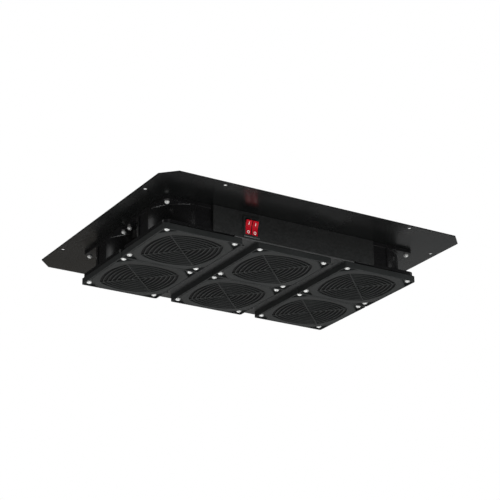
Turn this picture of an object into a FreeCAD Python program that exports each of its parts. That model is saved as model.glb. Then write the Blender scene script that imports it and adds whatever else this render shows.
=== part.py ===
"""Six-fan tray for the roof of a server rack: a flat plate that carries two rows of three fans."""
import FreeCAD, Part
import math
import os
import re

import Sketcher

# Driving dimensions in millimetres, angles in degrees and counts. Everything else follows from them.
SIZES = {
    # gaps between the guards of the six fans
    "column_gap": 23.8,
    "row_gap": 0.7,
    # mounting plate
    "plate_width": 488.0,
    "plate_length": 388.0,
    "plate_gauge": 1.5,
    "plate_corner_cut": 20.0,
    "edge_hole_radius": 2.9,
    "edge_hole_inset": 9.0,
    "side_hole_y": 122.5,
    "end_hole_x": 150.0,
    # fan frame
    "fan_side": 119.6,
    "fan_depth": 38.0,
    "hole_inset": 7.4,
    "fan_corner_radius": 8.0,
    "flange_depth": 4.6,
    "duct_wall": 2.2,
    "duct_step": 0.6,
    "barrel_bulge": 1.6,
    "pad_width": 23.5,
    "pad_recess": 1.2,
    "strut_width": 6.0,
    "strut_depth": 5.5,
    "strut_root": 1.0,
    "strut_count": 4,
    "base_depth": 6.5,
    "base_recess": 0.5,
    "tube_radius": 8.0,
    "tube_start": 7.0,
    "tube_cap": 1.7,
    # motor and impeller
    "rotor_radius": 31.5,
    "rotor_wall": 3.0,
    "rotor_floor": 2.0,
    "rotor_start": 2.5,
    "rotor_gap": 2.0,
    "rotor_edge": 2.5,
    "boss_radius": 4.0,
    "boss_length": 3.5,
    "shaft_radius": 2.0,
    "shaft_margin": 9.0,
    "blade_count": 7,
    "blade_tip_gap": 1.3,
    "blade_root_station": 22.0,
    "blade_height": 16.0,
    "root_chord": 28.0,
    "root_angle": 50.0,
    "root_back_radius": 29.8,
    "root_front_radius": 58.0,
    "tip_chord": 40.0,
    "tip_angle": 30.0,
    "tip_back_radius": 46.7,
    "tip_front_radius": 75.0,
    "bearing_outer_radius": 5.5,
    "bearing_length": 4.0,
    "lower_bearing_start": 9.0,
    "upper_bearing_drop": 12.0,
    "stator_start": 8.5,
    "stator_side_gap": 1.1,
    "stator_end_gap": 4.0,
    "stator_clearance": 0.1,
    # guard base, foam and clip-on guard cover
    "guard_overhang": 0.7,
    "guard_corner_radius": 3.0,
    "guard_wall": 1.6,
    "guard_base_height": 8.4,
    "guard_seat": 1.8,
    "pocket_depth": 3.0,
    "support_width": 3.0,
    "cover_drop": 0.15,
    "cover_thickness": 2.0,
    "cover_bevel": 1.0,
    "cover_clearance": 0.2,
    "cover_corner_cut": 24.5,
    "skirt_wall": 1.3,
    "skirt_height": 3.6,
    "spoke_width": 2.2,
    "ring_count": 7,
    "ring_first": 8.55,
    "ring_pitch": 6.33,
    "ring_width": 2.4,
    "ring_radius": 80.3,
    "foam_clearance": 0.3,
    # folded wiring cover
    "sheet_gauge": 1.2,
    "sheet_bend": 1.8,
    "cover_inset": 46.6,
    "ear_reach": 33.8,
    "relief_width": 2.5,
    "relief_height": 3.0,
    "front_clearance": 0.65,
    "rear_room": 9.2,
    "tab_width": 18.0,
    "tab_length": 26.0,
    "tab_hole_inset": 22.0,
    # screws, nuts and spacers
    "screw_radius": 1.75,
    "screw_hole_radius": 2.1,
    "screw_head_radius": 4.0,
    "screw_head_height": 2.6,
    "screw_tip_margin": 0.6,
    "plate_screw_length": 10.0,
    "nut_flats": 6.0,
    "nut_height": 2.4,
    "thread_clearance": 0.02,
    "spacer_radius": 5.0,
    # rocker switch
    "switch_height": 26.45,
    "bezel_width": 26.4,
    "bezel_height": 30.2,
    "bezel_depth": 2.0,
    "bezel_chamfer": 0.8,
    "switch_width": 21.6,
    "switch_tall": 26.8,
    "switch_depth": 19.0,
    "cutout_clearance": 0.2,
    "window_width": 9.6,
    "window_tall": 23.4,
    "window_depth": 12.0,
    "divider": 0.8,
    "rocker_side_gap": 0.15,
    "rocker_half_height": 10.3,
    "rocker_end_rise": 2.6,
    "rocker_hollow_radius": 34.0,
    "rocker_shoulder": 9.0,
    "rocker_shoulder_depth": 1.2,
    "rocker_back": 7.5,
    "rocker_back_half": 3.0,
    "rocker_pivot_depth": 3.5,
    "rocker_rest_angle": 11.0,
    "rocker_pin_radius": 1.2,
    "rocker_pin_reach": 0.35,
    "pin_clearance": 0.05,
    "lug_width": 4.8,
    "lug_thickness": 0.8,
    "lug_length": 8.0,
    "lug_spacing": 9.0,
    # terminals and cable entry
    "gland_height": 29.55,
    "gland_bore_radius": 4.0,
    "gland_thread_radius": 7.6,
    "gland_thread_length": 6.2,
    "gland_flats": 19.0,
    "gland_hex_length": 5.0,
    "gland_dome_radius": 9.0,
    "gland_nose_radius": 6.5,
    "gland_dome_length": 9.0,
    "gland_length": 19.0,
    "gland_hole_clearance": 0.2,
    "locknut_flats": 22.0,
    "locknut_height": 4.0,
    "block_width": 16.0,
    "block_length": 24.0,
    "block_height": 16.0,
    "block_front": 100.0,
    "block_ways": 3,
    "wire_hole_radius": 1.9,
    "wire_hole_height": 5.3,
    "block_screw_radius": 1.9,
    "block_screw_height": 1.2,
    "lead_block_width": 14.0,
    "lead_block_depth": 6.0,
    "lead_block_height": 12.0,
    "lead_block_start": 14.0,
}

# Sizes that follow from the driving ones.
FOLLOWS = {
    "guard_side": "fan_side + 2 * guard_overhang",
    "column_pitch": "guard_side + column_gap",
    "row_pitch": "guard_side + row_gap",
    "hole_pitch": "fan_side - 2 * hole_inset",
    "duct_radius": "fan_side / 2 - duct_wall",
    "plate_duct_radius": "duct_radius - duct_step",
    "barrel_radius": "fan_side / 2 + barrel_bulge",
    "pad_face": "fan_side / 2 - pad_recess",
    "blade_tip_station": "duct_radius - blade_tip_gap / 2",
    "base_radius": "rotor_radius",
    "tube_length": "fan_depth - base_recess - base_depth - tube_start",
    "shaft_length": "fan_depth - shaft_margin",
    "upper_bearing_start": "fan_depth - upper_bearing_drop",
    "stator_radius": "rotor_radius - rotor_wall - stator_side_gap",
    "stator_length": "fan_depth - base_recess - base_depth - stator_end_gap - stator_start",
    "side_hole_x": "plate_width / 2 - edge_hole_inset",
    "end_hole_y": "plate_length / 2 - edge_hole_inset",
    "cover_half": "guard_side / 2 - guard_wall - cover_clearance",
    "cover_corner_line": "guard_side - cover_corner_cut",
    "opening_half": "ring_first + ring_count * ring_pitch - ring_width / 2",
    "guard_screw_length": "guard_base_height - pocket_depth + sheet_gauge + flange_depth - screw_tip_margin",
    "cover_width": "2 * (column_pitch - cover_inset)",
    "ear_width": "cover_width + 2 * ear_reach",
}

# Levels and places that several pieces share, as formulas of the sizes.
GUARD_TOP = "(cover_drop + guard_base_height)"
FAN_FLOOR = f"({GUARD_TOP} + sheet_gauge)"
PLATE_FLOOR = f"({FAN_FLOOR} + fan_depth)"
PLATE_TOP = f"({PLATE_FLOOR} + plate_gauge)"
POCKET_FLOOR = "(cover_drop + pocket_depth)"
SHEET_FRONT = "(row_pitch / 2 + guard_side / 2 + front_clearance + sheet_gauge)"
SHEET_REAR = "(row_pitch / 2 + fan_side / 2 + rear_room + sheet_gauge)"
SHEET_HEIGHT = "(sheet_gauge + fan_depth)"
GAP_CENTRE = "(column_pitch / 2)"
COLUMNS = {"left": "-column_pitch", "middle": "0", "right": "column_pitch"}
ROWS = {"front": "-row_pitch / 2", "rear": "row_pitch / 2"}
CORNERS = [(-1, -1), (1, -1), (1, 1), (-1, 1)]
ORIGIN = FreeCAD.Vector(0, 0, 0)
X_AXIS = FreeCAD.Vector(1, 0, 0)
Z_AXIS = FreeCAD.Vector(0, 0, 1)

document = FreeCAD.newDocument("RackFanTray")
table = document.addObject("Spreadsheet::Sheet", "Sizes")
for row, (alias, number) in enumerate(SIZES.items(), start=1):
    table.set(f"A{row}", alias)
    table.set(f"B{row}", str(number))
    table.setAlias(f"B{row}", alias)
document.recompute()

nodes = []


def bound(formula):
    """The formula with each size written as a cell of the sheet."""
    return re.sub(r"[a-z_]+", lambda word: cell(word.group()), formula)


def cell(word):
    if word in FOLLOWS:
        return f"({bound(FOLLOWS[word])})"
    return f"Sizes.{word}" if word in SIZES else word


def size(formula):
    """The formula's present value."""
    return float(table.evalExpression(bound(formula)))


# ---------------------------------------------------------------- bodies, sketches and features


def new_body(name, node=True):
    body = document.addObject("PartDesign::Body", name)
    body.Label = name
    if node:
        nodes.append(body)
    return body


def place(thing, x="0", y="0", z="0"):
    """Ties a sub-part's place to the sheet."""
    for axis, formula in zip("xyz", (x, y, z)):
        thing.setExpression(f"Placement.Base.{axis}", bound(formula))


def new_sketch(body, plane, offset="0", turn=0.0):
    """A sketch on one of the body's own planes, moved along its normal and turned about it."""
    sketch = body.newObject("Sketcher::SketchObject", "Sketch")
    feature = next(f for f in body.Origin.OriginFeatures if f.Role == plane)
    sketch.AttachmentSupport = [(feature, "")]
    sketch.MapMode = "FlatFace"
    sketch.AttachmentOffset = FreeCAD.Placement(ORIGIN, FreeCAD.Rotation(Z_AXIS, turn))
    sketch.setExpression("AttachmentOffset.Base.z", bound(offset))
    return sketch


def constrain(sketch, kind, name, formula, *where):
    index = sketch.addConstraint(Sketcher.Constraint(kind, *where, size(formula)))
    sketch.renameConstraint(index, name)
    sketch.setExpression(f"Constraints.{name}", bound(formula))


def arc_through(start, end, radius):
    """The short arc from start to end: anticlockwise for a positive radius, clockwise for a negative one."""
    chord = end - start
    left = FreeCAD.Vector(-chord.y, chord.x, 0).normalize()
    depth = math.sqrt(radius * radius - chord.Length * chord.Length / 4)
    side = math.copysign(1, radius)
    centre = (start + end) / 2 + left * depth * side
    return Part.Arc(start, centre - left * radius, end)


def outline(sketch, points):
    """A closed loop. A third item in a point is the radius of the arc that arrives at it."""
    first = sketch.GeometryCount
    spots = [FreeCAD.Vector(size(p[0]), size(p[1]), 0) for p in points]
    for number in range(len(points)):
        start, end = number, (number + 1) % len(points)
        if len(points[end]) == 3:
            edge = arc_through(spots[start], spots[end], size(points[end][2]))
        else:
            edge = Part.LineSegment(spots[start], spots[end])
        sketch.addGeometry(edge, False)
    for number in range(len(points)):
        here, after = first + number, first + (number + 1) % len(points)
        is_arc = len(points[(number + 1) % len(points)]) == 3
        turns_back = is_arc and size(points[(number + 1) % len(points)][2]) < 0
        start_of_here = 2 if turns_back else 1
        end_of_here = 1 if turns_back else 2
        next_is_arc = len(points[(number + 2) % len(points)]) == 3
        next_back = next_is_arc and size(points[(number + 2) % len(points)][2]) < 0
        sketch.addConstraint(
            Sketcher.Constraint("Coincident", here, end_of_here, after, 2 if next_back else 1)
        )
        constrain(sketch, "DistanceX", f"across_{here}", points[number][0], -1, 1, here, start_of_here)
        constrain(sketch, "DistanceY", f"up_{here}", points[number][1], -1, 1, here, start_of_here)
        if is_arc:
            radius = f"abs({points[(number + 1) % len(points)][2]})"
            constrain(sketch, "Radius", f"radius_{here}", radius, here)


def circle(sketch, x, y, radius):
    number = sketch.GeometryCount
    centre = FreeCAD.Vector(size(x), size(y), 0)
    sketch.addGeometry(Part.Circle(centre, Z_AXIS, size(radius)), False)
    constrain(sketch, "DistanceX", f"across_{number}", x, -1, 1, number, 3)
    constrain(sketch, "DistanceY", f"up_{number}", y, -1, 1, number, 3)
    constrain(sketch, "Radius", f"radius_{number}", radius, number)


def rectangle(sketch, left, low, right, high):
    outline(sketch, [(left, low), (right, low), (right, high), (left, high)])


def rounded_square(sketch, half, radius):
    """A square about the origin with round corners."""
    flat = f"({half} - {radius})"
    outline(
        sketch,
        [
            (flat, f"-{half}"),
            (half, f"-{flat}", radius),
            (half, flat),
            (flat, half, radius),
            (f"-{flat}", half),
            (f"-{half}", flat, radius),
            (f"-{half}", f"-{flat}"),
            (f"-{flat}", f"-{half}", radius),
        ],
    )


def cut_corner_square(sketch, half, line):
    """A square about the origin whose corners are cut off where |x| + |y| reaches line."""
    short = f"({line} - {half})"
    outline(
        sketch,
        [
            (short, f"-{half}"),
            (half, f"-{short}"),
            (half, short),
            (short, half),
            (f"-{short}", half),
            (f"-{half}", short),
            (f"-{half}", f"-{short}"),
            (f"-{short}", f"-{half}"),
        ],
    )


def hexagon(sketch, flats, x="0", y="0"):
    """A hexagon with two points on its local X axis."""
    corners = []
    for step in range(6):
        across = f"{x} + {flats} / sqrt(3) * cos({60 * step})"
        up = f"{y} + {flats} / sqrt(3) * sin({60 * step})"
        corners.append((across, up))
    outline(sketch, corners)


def finished(body, feature):
    """Recomputes the body and makes the feature its tip."""
    body.Tip = feature
    document.recompute()
    return feature


def pad(body, sketch, length, backward=False, both_sides=False):
    feature = body.newObject("PartDesign::Pad", "Pad")
    feature.Profile = sketch
    feature.setExpression("Length", bound(length))
    feature.Reversed = backward
    feature.Midplane = both_sides
    return finished(body, feature)


def pocket(body, sketch, length=None, backward=False):
    """Cuts to a depth against the sketch's normal, or right through on both sides."""
    before = body.Shape.Volume
    feature = body.newObject("PartDesign::Pocket", "Pocket")
    feature.Profile = sketch
    if length is None:
        feature.Type = "ThroughAll"
        feature.Midplane = True
    else:
        feature.setExpression("Length", bound(length))
        feature.Reversed = backward
    finished(body, feature)
    if body.Shape.Volume > before - 1e-6:
        raise ValueError(f"a pocket of {body.Label} cuts nothing")
    return feature


def revolution(body, sketch):
    feature = body.newObject("PartDesign::Revolution", "Revolution")
    feature.Profile = sketch
    feature.ReferenceAxis = (sketch, ["V_Axis"])
    feature.Angle = 360
    return finished(body, feature)


def around(body, feature, count):
    """Repeats a feature about the body's Z axis."""
    pattern = body.newObject("PartDesign::PolarPattern", "PolarPattern")
    pattern.Originals = [feature]
    axis = next(f for f in body.Origin.OriginFeatures if f.Role == "Z_Axis")
    pattern.Axis = (axis, [""])
    pattern.Angle = 360
    pattern.setExpression("Occurrences", bound(count))
    return finished(body, pattern)


def chamfer(body, length, keep):
    """Chamfers the edges of the body's tip that keep accepts."""
    base = body.Tip
    names = [f"Edge{n}" for n, edge in enumerate(base.Shape.Edges, start=1) if keep(edge)]
    feature = body.newObject("PartDesign::Chamfer", "Chamfer")
    feature.Base = (base, names)
    feature.setExpression("Size", bound(length))
    return finished(body, feature)


def lies_at(edge, axis, level):
    """Whether the whole edge lies in the plane across an axis (0, 1 or 2) at a level."""
    box = edge.BoundBox
    low = (box.XMin, box.YMin, box.ZMin)[axis]
    high = (box.XMax, box.YMax, box.ZMax)[axis]
    return abs(low - level) < 1e-4 and abs(high - level) < 1e-4


def instance(name, master, x="0", y="0", z="0", turn=0.0):
    """A copy of a master body as a sub-part of its own."""
    copy = document.addObject("Part::Compound", name)
    copy.Links = [master]
    copy.Label = name
    copy.Placement = FreeCAD.Placement(ORIGIN, FreeCAD.Rotation(Z_AXIS, turn))
    place(copy, x, y, z)
    nodes.append(copy)
    return copy


def group(name, master, placements):
    """Identical small pieces as one sub-part of separate solids."""
    solids = []
    for placement in placements:
        solid = master.Shape.copy()
        solid.Placement = placement
        solids.append(solid)
    feature = document.addObject("Part::Feature", name)
    feature.Shape = Part.makeCompound(solids)
    feature.Label = name
    nodes.append(feature)
    return feature


def at(x, y, z, rotation=FreeCAD.Rotation()):
    return FreeCAD.Placement(FreeCAD.Vector(size(x), size(y), size(z)), rotation)


def fan_places():
    """Name, x and y of each fan."""
    for row_name, y in ROWS.items():
        for column_name, x in COLUMNS.items():
            yield f"{row_name}_{column_name}", x, y


def screw_places():
    """x and y of the four screws of every fan, with the column's name and the side."""
    for name, x, y in fan_places():
        for side_x, side_y in CORNERS:
            yield name, side_x, f"{x} + {side_x} * hole_pitch / 2", f"{y} + {side_y} * hole_pitch / 2"


def tab_places():
    """x and y of the screws that hold the wiring cover's four tabs."""
    for side in (-1, 1):
        yield f"{side} * {GAP_CENTRE}", f"-{SHEET_FRONT} + tab_hole_inset"
        yield f"{side} * {GAP_CENTRE}", f"{SHEET_REAR} - tab_hole_inset"


# ---------------------------------------------------------------- plate and wiring cover


def mounting_plate():
    body = new_body("mounting_plate")
    place(body, z=PLATE_FLOOR)
    blank = new_sketch(body, "XY_Plane")
    x, y, cut = "plate_width / 2", "plate_length / 2", "plate_corner_cut"
    corners = []
    for side_x, side_y in CORNERS:
        first = (f"{side_x} * ({x} - {cut})", f"{side_y} * {y}")
        second = (f"{side_x} * {x}", f"{side_y} * ({y} - {cut})")
        corners += [first, second] if side_x == -side_y else [second, first]
    outline(blank, corners)
    pad(body, blank, "plate_gauge")
    holes = new_sketch(body, "XY_Plane")
    for name, x, y in fan_places():
        circle(holes, x, y, "plate_duct_radius")
    for name, side, x, y in screw_places():
        circle(holes, x, y, "screw_hole_radius")
    for x, y in tab_places():
        circle(holes, x, y, "screw_hole_radius")
    for side_x, side_y in CORNERS:
        circle(holes, f"{side_x} * side_hole_x", f"{side_y} * side_hole_y", "edge_hole_radius")
        circle(holes, f"{side_x} * end_hole_x", f"{side_y} * end_hole_y", "edge_hole_radius")
    pocket(body, holes)


def wiring_cover():
    """One folded sheet: front panel with the switch, floor clamped under the fans, and rear wall."""
    body = new_body("wiring_cover")
    place(body, z=GUARD_TOP)
    gauge, bend, top = "sheet_gauge", "sheet_bend", SHEET_HEIGHT
    inner = f"({bend} - {gauge})"
    channel = new_sketch(body, "YZ_Plane")
    outline(
        channel,
        [
            (f"-{SHEET_FRONT}", top),
            (f"-{SHEET_FRONT}", bend),
            (f"-{SHEET_FRONT} + {bend}", "0", bend),
            (f"{SHEET_REAR} - {bend}", "0"),
            (SHEET_REAR, bend, bend),
            (SHEET_REAR, top),
            (f"{SHEET_REAR} - {gauge}", top),
            (f"{SHEET_REAR} - {gauge}", bend),
            (f"{SHEET_REAR} - {bend}", gauge, f"-{inner}"),
            (f"-{SHEET_FRONT} + {bend}", gauge),
            (f"-{SHEET_FRONT} + {gauge}", bend, f"-{inner}"),
            (f"-{SHEET_FRONT} + {gauge}", top),
        ],
    )
    pad(body, channel, "cover_width", both_sides=True)
    ears = new_sketch(body, "XZ_Plane", SHEET_FRONT)
    rectangle(ears, "-ear_width / 2", f"{bend}", "ear_width / 2", top)
    pad(body, ears, gauge, backward=True)
    reliefs = new_sketch(body, "XZ_Plane", SHEET_FRONT)
    for side in (-1, 1):
        near = f"{side} * cover_width / 2"
        far = f"{side} * (cover_width / 2 + relief_width)"
        left, right = (near, far) if side > 0 else (far, near)
        rectangle(reliefs, left, "-relief_height", right, "relief_height")
    pocket(body, reliefs, "2 * sheet_gauge")
    tabs = new_sketch(body, "XY_Plane", f"{top} - {gauge}")
    for side in (-1, 1):
        left = f"{side} * {GAP_CENTRE} - tab_width / 2"
        right = f"{side} * {GAP_CENTRE} + tab_width / 2"
        rectangle(tabs, left, f"-{SHEET_FRONT}", right, f"-{SHEET_FRONT} + tab_length")
        rectangle(tabs, left, f"{SHEET_REAR} - tab_length", right, SHEET_REAR)
    pad(body, tabs, gauge)
    holes = new_sketch(body, "XY_Plane")
    for y in ROWS.values():
        circle(holes, "0", y, "plate_duct_radius")
    for name, side, x, y in screw_places():
        if abs(size(x)) < size("cover_width / 2"):
            circle(holes, x, y, "screw_hole_radius")
    for x, y in tab_places():
        circle(holes, x, y, "screw_hole_radius")
    pocket(body, holes)
    cutout = new_sketch(body, "XZ_Plane", SHEET_FRONT)
    half_x = "(switch_width / 2 + cutout_clearance)"
    half_z = "(switch_tall / 2 + cutout_clearance)"
    level = f"(switch_height - {GUARD_TOP})"
    rectangle(cutout, f"-{GAP_CENTRE} - {half_x}", f"{level} - {half_z}", f"-{GAP_CENTRE} + {half_x}",
              f"{level} + {half_z}")
    pocket(body, cutout, "2 * sheet_gauge")
    entry = new_sketch(body, "XZ_Plane", f"-{SHEET_REAR}")
    circle(entry, GAP_CENTRE, f"gland_height - {GUARD_TOP}", "gland_thread_radius + gland_hole_clearance")
    pocket(body, entry, "2 * sheet_gauge", backward=True)


# ---------------------------------------------------------------- fan


def fan_frame():
    """Die-cast housing: two square flanges, the barrel, four struts and the motor base with its tube."""
    body = new_body("fan_frame_master", node=False)
    beyond = "fan_side"
    profile = new_sketch(body, "XZ_Plane")
    upper = "(fan_depth - flange_depth)"
    outline(
        profile,
        [
            ("duct_radius", "0"),
            (beyond, "0"),
            (beyond, "flange_depth"),
            ("barrel_radius", "flange_depth"),
            ("barrel_radius", upper),
            (beyond, upper),
            (beyond, "fan_depth"),
            ("duct_radius", "fan_depth"),
        ],
    )
    revolution(body, profile)
    trim = new_sketch(body, "XY_Plane")
    rounded_square(trim, "(fan_side / 2)", "fan_corner_radius")
    circle(trim, "0", "0", f"2 * {beyond}")
    pocket(body, trim)
    side = new_sketch(body, "XY_Plane", "flange_depth")
    rectangle(side, "pad_face", "-pad_width / 2", "fan_side", "pad_width / 2")
    around(body, pocket(body, side, "fan_depth - 2 * flange_depth", backward=True), "4")
    holes = (("0", "screw_radius + thread_clearance"), (upper, "screw_hole_radius"))
    for level, radius in holes:
        hole = new_sketch(body, "XY_Plane", level)
        circle(hole, "hole_pitch / 2", "hole_pitch / 2", radius)
        around(body, pocket(body, hole, "flange_depth", backward=True), "4")
    top = "(fan_depth - base_recess)"
    floor = f"({top} - base_depth)"
    base = new_sketch(body, "XZ_Plane")
    bore_end = f"({top} - tube_cap)"
    outline(
        base,
        [
            ("0", top),
            ("0", bore_end),
            ("bearing_outer_radius", bore_end),
            ("bearing_outer_radius", f"{floor} - tube_length"),
            ("tube_radius", f"{floor} - tube_length"),
            ("tube_radius", floor),
            ("base_radius", floor),
            ("base_radius", top),
        ],
    )
    revolution(body, base)
    strut = new_sketch(body, "XY_Plane", f"{top} - strut_depth", turn=45.0)
    rectangle(strut, "tube_radius", "-strut_width / 2", "duct_radius + strut_root", "strut_width / 2")
    around(body, pad(body, strut, "strut_depth"), "strut_count")
    return body


def blade_section(body, station, chord, angle, back, front):
    """Crescent section of a blade, on a plane across the blade's reach."""
    sketch = new_sketch(body, "XZ_Plane", station)
    across = f"{chord} / 2 * cos({angle})"
    up = f"{chord} / 2 * sin({angle})"
    tail = (f"-({across})", f"blade_height - {up}")
    nose = (across, f"blade_height + {up}")
    outline(sketch, [(*tail, f"-{front}"), (*nose, back)])
    return sketch


def impeller():
    """Rotor cup with seven twisted blades, open towards the motor base."""
    body = new_body("impeller_master", node=False)
    rim = "(fan_depth - base_recess - base_depth - rotor_gap)"
    hub = new_sketch(body, "XZ_Plane")
    outline(
        hub,
        [
            ("0", "rotor_start"),
            ("rotor_radius - rotor_edge", "rotor_start"),
            ("rotor_radius", "rotor_start + rotor_edge"),
            ("rotor_radius", rim),
            ("0", rim),
        ],
    )
    revolution(body, hub)
    root = blade_section(body, "blade_root_station", "root_chord", "root_angle", "root_back_radius",
                         "root_front_radius")
    tip = blade_section(body, "blade_tip_station", "tip_chord", "tip_angle", "tip_back_radius",
                        "tip_front_radius")
    blade = body.newObject("PartDesign::AdditiveLoft", "Blade")
    blade.Profile = root
    blade.Sections = [tip]
    finished(body, blade)
    around(body, blade, "blade_count")
    sweep = new_sketch(body, "XY_Plane")
    circle(sweep, "0", "0", "duct_radius - blade_tip_gap")
    circle(sweep, "0", "0", "fan_side")
    pocket(body, sweep)
    hollow = new_sketch(body, "XY_Plane", rim)
    circle(hollow, "0", "0", "rotor_radius - rotor_wall")
    pocket(body, hollow, f"{rim} - rotor_start - rotor_floor")
    boss = new_sketch(body, "XY_Plane", "rotor_start + rotor_floor")
    circle(boss, "0", "0", "boss_radius")
    circle(boss, "0", "0", "shaft_radius + thread_clearance")
    pad(body, boss, "boss_length")
    return body


def ring_body(name, outer, inner, length, start="0"):
    """A plain ring about Z."""
    body = new_body(name, node=False)
    sketch = new_sketch(body, "XY_Plane", start)
    circle(sketch, "0", "0", outer)
    circle(sketch, "0", "0", inner)
    pad(body, sketch, length)
    return body


def shaft():
    body = new_body("shaft_master", node=False)
    sketch = new_sketch(body, "XY_Plane", "rotor_start + rotor_floor")
    circle(sketch, "0", "0", "shaft_radius")
    pad(body, sketch, "shaft_length")
    return body


# ---------------------------------------------------------------- guard


def guard_base():
    """Square moulding that is screwed to the fan: walls, corner pockets, and a seat for the foam."""
    body = new_body("guard_base_master", node=False)
    half, inner = "(guard_side / 2)", "(guard_side / 2 - guard_wall)"
    block = new_sketch(body, "XY_Plane")
    rounded_square(block, half, "guard_corner_radius")
    pad(body, block, "guard_base_height")
    pockets = new_sketch(body, "XY_Plane")
    rectangle(pockets, f"-{inner}", f"-{inner}", inner, inner)
    pocket(body, pockets, "pocket_depth", backward=True)
    well = new_sketch(body, "XY_Plane")
    cut_corner_square(well, inner, "(cover_corner_line + 2 * cover_clearance)")
    pocket(body, well, "guard_base_height - guard_seat", backward=True)
    duct = new_sketch(body, "XY_Plane")
    circle(duct, "0", "0", "plate_duct_radius")
    pocket(body, duct)
    bar = new_sketch(body, "XY_Plane", "guard_base_height - guard_seat")
    rectangle(bar, "-support_width / 2", "-support_width / 2", "plate_duct_radius + guard_wall / 2",
              "support_width / 2")
    around(body, pad(body, bar, "guard_seat"), "4")
    hole = new_sketch(body, "XY_Plane")
    circle(hole, "hole_pitch / 2", "hole_pitch / 2", "screw_hole_radius")
    around(body, pocket(body, hole), "4")
    return body


def ring_corner(apex):
    """Where an arc of a ring, bulging out to apex, meets the diagonal."""
    short = f"(ring_radius - ({apex}))"
    return f"((sqrt(2 * ring_radius ^ 2 - {short} ^ 2) - {short}) / 2)"


def guard_cover():
    """Clip-on cover with the grille: nested rings of four flat arcs that meet on diagonal spokes."""
    body = new_body("guard_cover_master", node=False)
    face = new_sketch(body, "XY_Plane")
    cut_corner_square(face, "cover_half", "cover_corner_line")
    pad(body, face, "cover_thickness")
    chamfer(body, "cover_bevel", lambda edge: lies_at(edge, 2, 0))
    skirt = new_sketch(body, "XY_Plane", "cover_thickness")
    cut_corner_square(skirt, "cover_half", "cover_corner_line")
    cut_corner_square(skirt, "(cover_half - skirt_wall)", "(cover_corner_line - 2 * skirt_wall)")
    pad(body, skirt, "skirt_height")
    opening = new_sketch(body, "XY_Plane")
    corner, radius = ring_corner("opening_half"), "ring_radius"
    outline(
        opening,
        [
            (corner, f"-{corner}", radius),
            (corner, corner, radius),
            (f"-{corner}", corner, radius),
            (f"-{corner}", f"-{corner}", radius),
        ],
    )
    pocket(body, opening)
    spoke = new_sketch(body, "XY_Plane", turn=45.0)
    rectangle(spoke, "0", "-spoke_width / 2", f"{corner} * sqrt(2) + spoke_width / 2", "spoke_width / 2")
    around(body, pad(body, spoke, "cover_thickness"), "4")
    rings = new_sketch(body, "XY_Plane")
    for number in range(int(size("ring_count"))):
        middle = f"ring_first + {number} * ring_pitch"
        outer, inner = f"({middle} + ring_width / 2)", f"({middle} - ring_width / 2)"
        far, near = ring_corner(outer), ring_corner(inner)
        outline(
            rings,
            [
                (far, f"-{far}"),
                (far, far, radius),
                (near, near),
                (near, f"-{near}", f"-{radius}"),
            ],
        )
    around(body, pad(body, rings, "cover_thickness"), "4")
    return body


def foam():
    body = new_body("foam_master", node=False)
    sketch = new_sketch(body, "XY_Plane")
    half = "(cover_half - skirt_wall - foam_clearance)"
    cut_corner_square(sketch, half, "(cover_corner_line - 2 * skirt_wall - 2 * foam_clearance)")
    pad(body, sketch, "cover_drop + guard_base_height - guard_seat - cover_thickness - 2 * foam_clearance")
    return body


# ---------------------------------------------------------------- screws, nuts and washers


def screw(name, length):
    """Pan-head screw, its head below the plane z = 0 and its shank above."""
    body = new_body(name, node=False)
    profile = new_sketch(body, "XZ_Plane")
    outline(
        profile,
        [
            ("0", "-screw_head_height"),
            ("screw_head_radius", "-screw_head_height"),
            ("screw_head_radius", "0"),
            ("screw_radius", "0"),
            ("screw_radius", length),
            ("0", length),
        ],
    )
    revolution(body, profile)
    return body


def nut():
    body = new_body("nut_master", node=False)
    sketch = new_sketch(body, "XY_Plane")
    hexagon(sketch, "nut_flats")
    circle(sketch, "0", "0", "screw_radius + thread_clearance")
    pad(body, sketch, "nut_height")
    return body


# ---------------------------------------------------------------- switch


def switch_housing():
    """Housing of the double rocker switch, its bezel in front of the panel at local y = 0."""
    body = new_body("switch_housing")
    place(body, f"-{GAP_CENTRE}", f"-{SHEET_FRONT}", "switch_height")
    box = new_sketch(body, "XZ_Plane")
    rectangle(box, "-switch_width / 2", "-switch_tall / 2", "switch_width / 2", "switch_tall / 2")
    pad(body, box, "switch_depth", backward=True)
    bezel = new_sketch(body, "XZ_Plane")
    rectangle(bezel, "-bezel_width / 2", "-bezel_height / 2", "bezel_width / 2", "bezel_height / 2")
    pad(body, bezel, "bezel_depth")
    chamfer(body, "bezel_chamfer", lambda edge: lies_at(edge, 1, -size("bezel_depth")))
    windows = new_sketch(body, "XZ_Plane", "bezel_depth")
    rectangle(windows, "divider / 2", "-window_tall / 2", "divider / 2 + window_width", "window_tall / 2")
    rectangle(windows, "-divider / 2 - window_width", "-window_tall / 2", "-divider / 2", "window_tall / 2")
    pocket(body, windows, "window_depth")
    pins = new_sketch(body, "YZ_Plane")
    circle(pins, "rocker_pivot_depth", "0", "rocker_pin_radius + pin_clearance")
    pocket(body, pins)
    return body


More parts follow.
